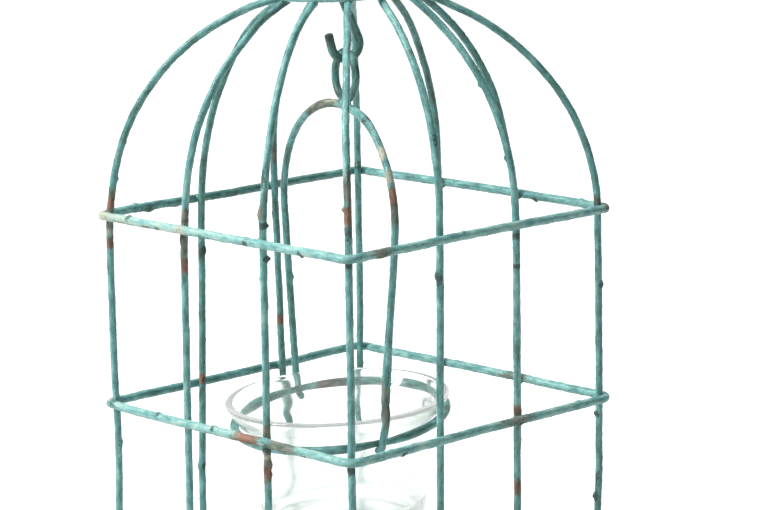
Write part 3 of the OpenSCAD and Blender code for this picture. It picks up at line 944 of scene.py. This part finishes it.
# %% The arch
halves = [half_arch(-1, FEET_AT[0])[::-1], half_arch(1, FEET_AT[1])]
arch = np.vstack(halves) @ on_hook.T + hang
piece = wire("bail_arch_wire", arch, bail_normal, "bail", 63,
             rough=0.9, wander=0.03, tone=0.5, stout=BAIL_STOUT,
             sways=[((17, -9, 204), 0.8 * RIGHT + 0.7 * UP, 16),
                    # The right leg bends round the rim of the glass
                    ((41, -23.4, 84.6), (2.1, -0.9, 0), 6.5),
                    ((43.5, -20.6, 145.5), (0.4, -0.16, 0), 12)],
             lumps=[((-56, 14, 127), RIGHT, 0.6, 1.2, 0.9),
                    ((42, -24, 88), LEFT, 0.6, 1.4, 1.0),
                    ((17, -9, 204), NEAR, 0.4, 1.5, 1.0),
                    ((43, -24, 103), NEAR, 0.4, 14, ALL_ROUND),
                    ((-18, 4, 208), UP, 0.28, 13, ALL_ROUND),
                    ((13, -6, 207), UP, 0.3, 13, ALL_ROUND)],
             patches=[("cream", (33, -15, 194), 3.5, 1.0),
                      ("cream", (39, -17, 184.5), 3.5, 0.9),
                      ("bare", (-16, 3, 209), 13, 1.0),
                      ("cream", (-12, 2, 209.5), 8, 0.55, UP),
                      ("bare", (-30, 6, 205), 6, 0.9), ("rust", (42, -18, 178), 4.5, 1.2),
                      ("bare", (43, -18, 171), 6, 0.8), ("dark", (17, -9, 204), 2, 0.8),
                      ("bare", (42, -24, 92), 12, 0.7),
                      ("tone", (-50, 14, 140), 60, 0.15)])
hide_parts("bail_arch")

# %% [markdown]
# The glass stands in a plain ring, held by the bail's two feet. The wire of
# the ring is thick, but the glass must still fit through it, so the ring grows
# outwards and down, straight away from the flare. Under the feet it is worn
# back to where a thinner wire would lie.

# %% Ring that carries the glass
FLARE = 33.0                 # lean of the glass's flare, degrees from its axis
RING_STOUT = 1.25
RUB_DEPTH, RUB_REACH = 0.52, 9.0     # wear under a foot, and on each side of it
on_ring = on_hook @ in_bail
ring_c = hang + on_hook @ np.array([RING_SHIFT, 0, -RING_DROP])
out_by, up_by = WIRE_R * (RING_STOUT - 1) * polar(1, -FLARE)
grown = arc((0, 0), RING_R, 0, 360)[:-1] * (1 + out_by / RING_R)
ring_path = np.column_stack([grown, np.full(len(grown), up_by)])
rubs = [RING_R * compass(a) for a in FEET_AT]
piece = wire("cup_ring_wire", ring_path @ on_ring.T + ring_c, on_ring @ UP,
             "ring", 64, closed=True, rough=0.35, wander=0.0, tone=0.6,
             stout=RING_STOUT,
             sways=[(on_ring @ p + ring_c,
                     on_ring @ (-out_by / RING_R * p - up_by * UP), RUB_REACH)
                    for p in rubs],
             lumps=[(on_ring @ p + ring_c, UP, -RUB_DEPTH, RUB_REACH, ALL_ROUND)
                    for p in rubs],
             patches=[("bare", (-40, 22, 83), 7, 1.0), ("rust", (-42, 18, 83), 3, 0.6)])
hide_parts("cup_ring")


# %% [markdown]
# ## Welds
# Where two wires cross, the torch left a bead. Each bead is a small ball,
# squeezed between the wires and dented by a few waves. They are all computed
# at once as one array and kept as one piece.

# %% Beads
BEAD_ROWS, BEAD_COLS = 12, 16


def beads(name, centres, axes, sizes, seed, body, tone=0.0, bare=0.0):
    """Balls centre + axes (size * radius(u, v) * direction(u, v)), where the
    radius is one plus three low waves of random phase."""
    rng = np.random.default_rng(seed)
    centres, sizes = np.array(centres), np.array(sizes, float)
    u = np.linspace(0, np.pi, BEAD_ROWS)[1:-1, None]
    v = np.arange(BEAD_COLS)[None] * 2 * np.pi / BEAD_COLS
    way = np.stack([np.sin(u) * np.cos(v), np.sin(u) * np.sin(v),
                    np.cos(u) * np.ones_like(v)], -1)
    k = len(centres)
    phase = rng.uniform(0, 2 * np.pi, (3, k, 1, 1))
    dent = 1 + (0.10 * np.sin(2 * v + 2 * u + phase[0])
                + 0.08 * np.sin(3 * v - u + phase[1])
                + 0.07 * np.sin(v + 3 * u + phase[2]))
    sizes = sizes * rng.uniform(0.85, 1.15, (k, 1))
    local = way * dent[..., None] * sizes[:, None, None]
    grid = np.einsum("kij,kabj->kabi", np.array(axes), local) + centres[:, None, None]
    grid[..., 2] = np.maximum(grid[..., 2], 0)
    grid = grid[:, ::-1]                         # so that the faces point out
    piece = skin(name, grid)
    points = grid.reshape(-1, 3)
    worn_and_shaded = np.tile([0, 0, 0, bare], (len(points), 1))
    weather(piece, worn_and_shaded, np.full(len(points), tone), points * MM)
    piece.data.materials.append(PAINT)
    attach(piece, body)
    print(f"{name}: {k} beads")
    return piece


# %% Beads where the ribs meet the hoops and the crown
# Half sizes out, round and up
HOOP_BEAD, CROWN_BEAD = (1.3, 1.9, 1.8), (1.9, 1.9, 1.2)
LOOP_BEAD, EYE_BEAD = (3.2, 1.6, 1.1), (2.6, 1.7, 1.2)


def bead_axes(out):
    """Columns out, round and up: the directions of a bead's three sizes."""
    return np.column_stack([out, np.cross(UP, out), UP])


centres, axes, sizes = [], [], []
for x, y, rise, sweep, crown_angle, stray, tone in RIBS.values():
    azimuth = np.degrees(np.arctan2(y, x))
    out = compass(45 * round(azimuth / 45))      # square to a face, or a corner
    along = np.abs(np.cross(UP, out))
    for z in HOOP_Z.values():
        lean = stray * (1 - z / (DOME_FROM + rise)) * along
        centres.append(np.array([x, y, z]) + lean + out * SEAT / 2)
        axes.append(bead_axes(out))
        sizes.append(HOOP_BEAD)
    out = compass(azimuth)
    c, up = polar(1, crown_angle)
    centres.append(out * CROWN_R + UP * crown_at(azimuth) - SEAT / 2 * (out * c + UP * up))
    axes.append(bead_axes(out))
    sizes.append(CROWN_BEAD)
beads("rib_welds", centres, axes, sizes, 71, "cage", 0.5, 0.42)

# %% Beads on the crown and under the eye
tilted = on_crown @ turn(UP, HANG_TURN)
spots = [(sign * x, up) for x, up in ((CROWN_R, SEAT / 2),
                                      (foot_x + LOOP_WELD, 1.5 * SEAT))
         for sign in (-1, 1)]
centres = [crown_origin + tilted @ np.array([x, 0, up]) for x, up in spots]
beads("crown_welds", centres, [tilted] * 4,
      [CROWN_BEAD] * 2 + [LOOP_BEAD] * 2, 72, "cage")
under_eye = hang + on_hook @ np.array([0, 0, eye_z - EYE_R - SEAT / 2])
beads("eye_weld", [under_eye], [on_hook], [EYE_BEAD], 73, "bail", 0.3)

# %% [markdown]
# ## The glass
# A pressed cup: a flat lip, a flare that rests on the ring, a straight well
# and a thick foot. It could be carved from a solid, but pressed glass has no
# sharp corner anywhere, so its outline is drawn from a few corners, each
# rounded by its own arc, and carried round an axis, finely enough that the
# glass bends light smoothly.

# %% Outline of the glass
RIM_R, BODY_R, WELL_R = 48.5, 35.8, 33.4
RIM_Z = 9.1                  # height of the lip over the ring
GLASS_H, FOOT_T, LIP = 58.0, 4.8, 3.7
POLE = 0.3                   # the outline stops just short of the axis


def rounded(corners):
    """Outline through corners (r, z, radius), each one cut by the arc of its
    radius that touches both of its sides."""
    corners = np.array(corners, float)
    points, radii = corners[:, :2], corners[:, 2]
    pieces = [points[:1]]
    for before, corner, after, radius in zip(points, points[1:], points[2:], radii[1:]):
        u, v = before - corner, after - corner
        u, v = u / np.linalg.norm(u), v / np.linalg.norm(v)
        half = np.arccos(np.dot(u, v)) / 2
        centre = corner + (u + v) / np.linalg.norm(u + v) * radius / np.sin(half)
        touch = [corner + w * radius / np.tan(half) - centre for w in (u, v)]
        a, b = (np.degrees(np.arctan2(p[1], p[0])) for p in touch)
        pieces.append(arc(centre, radius, a, a + (b - a + 180) % 360 - 180))
    return np.vstack(pieces + [points[-1:]])


foot_z, inner_r = RIM_Z - GLASS_H, RIM_R - LIP
slope = np.tan(np.radians(FLARE))
profile = rounded([
    (POLE, foot_z, 0), (BODY_R - 1.0, foot_z, 5.0), (BODY_R, foot_z + 12, 60.0),
    (BODY_R, RIM_Z - (RIM_R - BODY_R) / slope, 14.0), (RIM_R, RIM_Z, 1.0),
    (inner_r, RIM_Z, 1.2), (WELL_R, RIM_Z - (inner_r - WELL_R) / slope, 16.4),
    (WELL_R, foot_z + FOOT_T, 9.8), (POLE, foot_z + FOOT_T, 0)])
profile = even(np.column_stack([profile, np.zeros(len(profile))]))[0]
print(f"outline of the glass: {len(profile)} points, {GLASS_H:.0f} mm high")

# %% [markdown]
# Hot glass is never quite even. A very slow wave runs through the wall, most
# of it in the flare, and two thick tears inside the flare at the back bend the
# ring behind them out of sight. All of it is one push outwards, added to the
# whole grid.

# %% The wall of the glass
COLUMNS = 192
WALL = 160.0                 # length over which the waves are counted
CALM, WAVY = 0.004, 0.09     # push of the waves in the well and in the flare
TEAR_DEPTH = 0.4
# Each tear's side of the glass, and its reach round it in radians
TEARS = (((-44.6, 6.9, 0), 0.15), ((-15.9, 41.5, 0), 0.12))


def revolve(profile, count):
    """Grid (r cos t, r sin t, z) of a profile of (r, z) carried round Z."""
    t = np.arange(count) * 2 * np.pi / count
    r, z = profile[:, :1], profile[:, 1:2]
    return np.stack([r * np.cos(t), r * np.sin(t), z + 0 * t], -1)


def soft(height, at, width):
    """Soft step from 0 to 1 at a height, 1 / (1 + exp(-(height - at) / width)),
    which steps down where the width is negative."""
    return 1 / (1 + np.exp(-(height - at) / width))


grid = revolve(profile, COLUMNS)
rng = np.random.default_rng(81)
S, T = np.meshgrid(np.linspace(0, 1, len(profile)),
                   np.arange(COLUMNS) * 2 * np.pi / COLUMNS, indexing="ij")
height = grid[..., 2]
flared = soft(height, RIM_Z - 15, 1.5) * soft(height, RIM_Z - 1.2, -0.5)
waves = ripple(S * WALL, T, WALL, rng, 6, 30, 20, 9)
push = (CALM + WAVY * flared) * waves
for side, reach in TEARS:
    way = on_ring.T @ np.array(side)
    turned = (T - np.arctan2(way[1], way[0]) + np.pi) % (2 * np.pi) - np.pi
    push = push - TEAR_DEPTH * np.exp(-(turned / reach) ** 2) * flared * (S > 0.5)
from_axis = np.maximum(np.hypot(grid[..., 0], grid[..., 1]), 5)
grid[..., :2] *= (1 + push / from_axis)[..., None]
print(f"wall of the glass pushed by {push.min():.2f} to {push.max():.2f} mm")

# %% [markdown]
# The side of the glass that faces the room is misted, so that the wires far
# behind it fade. Frost is only roughness, so it is one number per point.

# %% Frost on the glass
MISTED, FLARE_FROST = 0.13, 0.12
room = on_ring.T @ NEAR
facing = np.cos(T) * room[0] + np.sin(T) * room[1]
mist = np.clip(0.2 + 1.6 * facing, 0, 1) * soft(height, RIM_Z - 2, -0.6)
frost = np.maximum(FLARE_FROST * flared, MISTED * mist).ravel()
print(f"roughness up to {frost.max():.2f}")

# %% [markdown]
# The flare works like part of a ball that sits in the ring. The heavy foot
# swings it upright, so the glass leans less than the ring does. The turn is
# made about the middle of that ball, which keeps the flare on the wire.

# %% The glass in its ring
PIVOT = 28.0 * UP            # middle of the ball, over the ring's plane
SWUNG = (-3.4, -2.2)         # degrees about the rightward and the near direction
SETTLED = 0.3 * RIGHT + 0.15 * UP        # how far it has slid on the wire
righted = turn(RIGHT, SWUNG[0]) @ turn(NEAR, SWUNG[1])
grid = (grid - PIVOT) @ (righted @ on_ring).T + on_ring @ PIVOT + ring_c + SETTLED
glass_piece = skin("glass_cup_pressed", grid[None])
layer = glass_piece.data.attributes.new("frost", "FLOAT", "POINT")
layer.data.foreach_set("value", np.append(frost, (0, 0)).astype(np.float32))
print("glass:", len(glass_piece.data.polygons), "faces")

# %% [markdown]
# Clear glass is nearly all transmission, with gloss from its smooth skin. Thick
# pressed glass also looks a little milky. Here a volume swallows some light and
# glows a pale, faintly green light back, for less than scattering: painted
# light, a glow inside the glass that comes from no lamp. It is set for a pale
# room: in a dark one the thick rim would glow, and there the glow has to be
# turned down.

# %% Clear pressed glass
SWALLOWED, PAINTED_GLOW = 28.0, 26.5       # for each metre of glass
tree = Tree(bpy.data.materials.new("clear_glass"))
shader = tree.node("ShaderNodeBsdfPrincipled")
shader.inputs["Base Color"].default_value = srgb(250, 253, 251)
shader.inputs["Transmission Weight"].default_value = 1.0
shader.inputs["IOR"].default_value = 1.5
tree.join(tree.read("frost"), shader.inputs["Roughness"])
tree.give(shader.outputs[0])
depth = tree.node("ShaderNodeVolumeAbsorption")
depth.inputs["Color"].default_value = (0, 0, 0, 1)
depth.inputs["Density"].default_value = SWALLOWED
# Painted glow: this emission lights the glass from inside
painted_glow = tree.node("ShaderNodeEmission")
painted_glow.inputs["Color"].default_value = (0.88, 0.93, 0.89, 1)
painted_glow.inputs["Strength"].default_value = PAINTED_GLOW
tree.give(tree.add(depth.outputs[0], painted_glow.outputs[0]), "Volume")
glass_piece.data.materials.append(tree.owner)
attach(glass_piece, "cup")
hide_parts("glass_cup")
print(tree.owner.name, len(tree.nodes), "nodes")

# %% [markdown]
# ## Stage, light and camera
# A pale floor under the lantern. It is plain grey paper to the light, so that
# it keeps a soft shadow, but to the camera, to gloss and to glass it glows
# almost white. Light Path tells the shader which kind of ray has arrived.

# %% Floor
FLOOR_HALF, FLOOR_GREY, FLOOR_GLOW = 12.0, 0.6, 0.85     # the first in metres


def seen(tree):
    """1 for rays of the camera, of gloss and of glass, 0 for all others."""
    ray = tree.node("ShaderNodeLightPath").outputs
    sheen = tree.math("MAXIMUM", ray["Is Glossy Ray"], ray["Is Transmission Ray"])
    return tree.math("MAXIMUM", ray["Is Camera Ray"], sheen)


signs = ((-1, -1), (1, -1), (1, 1), (-1, 1))
floor_mesh = bpy.data.meshes.new("floor")
floor_mesh.from_pydata([(x * FLOOR_HALF, y * FLOOR_HALF, 0) for x, y in signs],
                       [], [(0, 1, 2, 3)])
floor = bpy.data.objects.new("floor", floor_mesh)
bpy.context.scene.collection.objects.link(floor)
tree = Tree(bpy.data.materials.new("pale_floor"))
paper = tree.node("ShaderNodeBsdfDiffuse")
paper.inputs["Color"].default_value = (FLOOR_GREY, FLOOR_GREY, FLOOR_GREY, 1)
glow = tree.node("ShaderNodeEmission")
tree.join(tree.math("MULTIPLY", seen(tree), FLOOR_GLOW), glow.inputs["Strength"])
tree.give(tree.add(paper.outputs[0], glow.outputs[0]))
floor_mesh.materials.append(tree.owner)
print("floor:", 2 * FLOOR_HALF, "m square")

# %% [markdown]
# The world is a white room that also gives a weak, even fill. Clear glass on
# white would vanish, so dark cards stand on both sides of it and show in its
# edges alone. They are two dark ends of the sky that only gloss and glass see.

# %% World with a dark card on each side
FILL = 0.27
# How far sideways the card starts and is full, and the light before and on it
CARD = (("From Min", 0.62), ("From Max", 0.85), ("To Min", 0.8), ("To Max", 0.02))
world = bpy.data.worlds.new("studio")
bpy.context.scene.world = world
tree = Tree(world)
dim, white = tree.node("ShaderNodeBackground"), tree.node("ShaderNodeBackground")
dim.inputs["Strength"].default_value = FILL
white.inputs["Color"].default_value = (1, 1, 1, 1)
sideways = tree.node("ShaderNodeVectorMath", operation="DOT_PRODUCT")
tree.join(tree.node("ShaderNodeTexCoord").outputs["Generated"], sideways.inputs[0])
sideways.inputs[1].default_value = RIGHT
card = tree.node("ShaderNodeMapRange")
for key, value in CARD:
    card.inputs[key].default_value = value
tree.join(tree.math("ABSOLUTE", sideways.outputs["Value"]), card.inputs["Value"])
to_camera = tree.node("ShaderNodeLightPath").outputs["Is Camera Ray"]
tree.join(tree.math("MAXIMUM", card.outputs["Result"], to_camera), white.inputs["Strength"])
choose = tree.node("ShaderNodeMixShader")
tree.join(seen(tree), choose.inputs["Fac"])
tree.join(dim.outputs[0], choose.inputs[1])
tree.join(white.outputs[0], choose.inputs[2])
tree.give(choose.outputs[0], kind="ShaderNodeOutputWorld")
print("world:", len(tree.nodes), "nodes, fill", FILL)

# %% [markdown]
# One broad lamp from the upper left draws a soft line of light along each
# wire, and a weaker one overhead opens the shadows of the dome. The camera
# stands off with a long lens, so that the cage keeps its square look, and it
# leans by about a degree.


# %% Lamps and camera
def look(place, back, roll=0.0):
    """4 by 4 matrix of a camera or lamp at place whose +Z points back: right
    is up cross back, and both turn by roll degrees about back."""
    back = back / np.linalg.norm(back)
    right = np.cross(UP, back)
    right /= np.linalg.norm(right)
    high = np.cross(back, right)
    c, s = polar(1, roll)
    right, high = c * right + s * high, c * high - s * right
    m = np.eye(4)
    m[:3, :3] = np.column_stack([right, high, back])
    m[:3, 3] = place
    return Matrix(m.tolist())


def lamp(name, place, target, size, power):
    """A square lamp at place that faces target, in metres and watts."""
    light = bpy.data.lights.new(name, "AREA")
    light.size, light.energy = size, power
    obj = bpy.data.objects.new(name, light)
    bpy.context.scene.collection.objects.link(obj)
    obj.matrix_world = look(place, np.subtract(place, target))


lamp("key", (-0.95, -1.45, 1.55), (0, 0, 0.15), 0.8, 45)
lamp("top", (-0.2, 0.1, 2.2), (0, 0, 0.15), 1.2, 18)

CAMERA_AT = np.array([946.97, -906.29, 397.87]) * MM
CAMERA_TO = np.array([7.53, 7.739, 145.696]) * MM
LENS, SENSOR, ROLL = 150.2, 36.0, -0.936     # millimetres, and degrees
camera_data = bpy.data.cameras.new("camera")
camera_data.lens, camera_data.sensor_width = LENS, SENSOR
camera_data.clip_end = 100.0
camera = bpy.data.objects.new("camera", camera_data)
camera.matrix_world = look(CAMERA_AT, CAMERA_AT - CAMERA_TO, ROLL)
bpy.context.scene.collection.objects.link(camera)
bpy.context.scene.camera = camera
bpy.context.scene.view_settings.view_transform = "Standard"
print(f"camera {np.linalg.norm(CAMERA_AT - CAMERA_TO):.2f} m away")
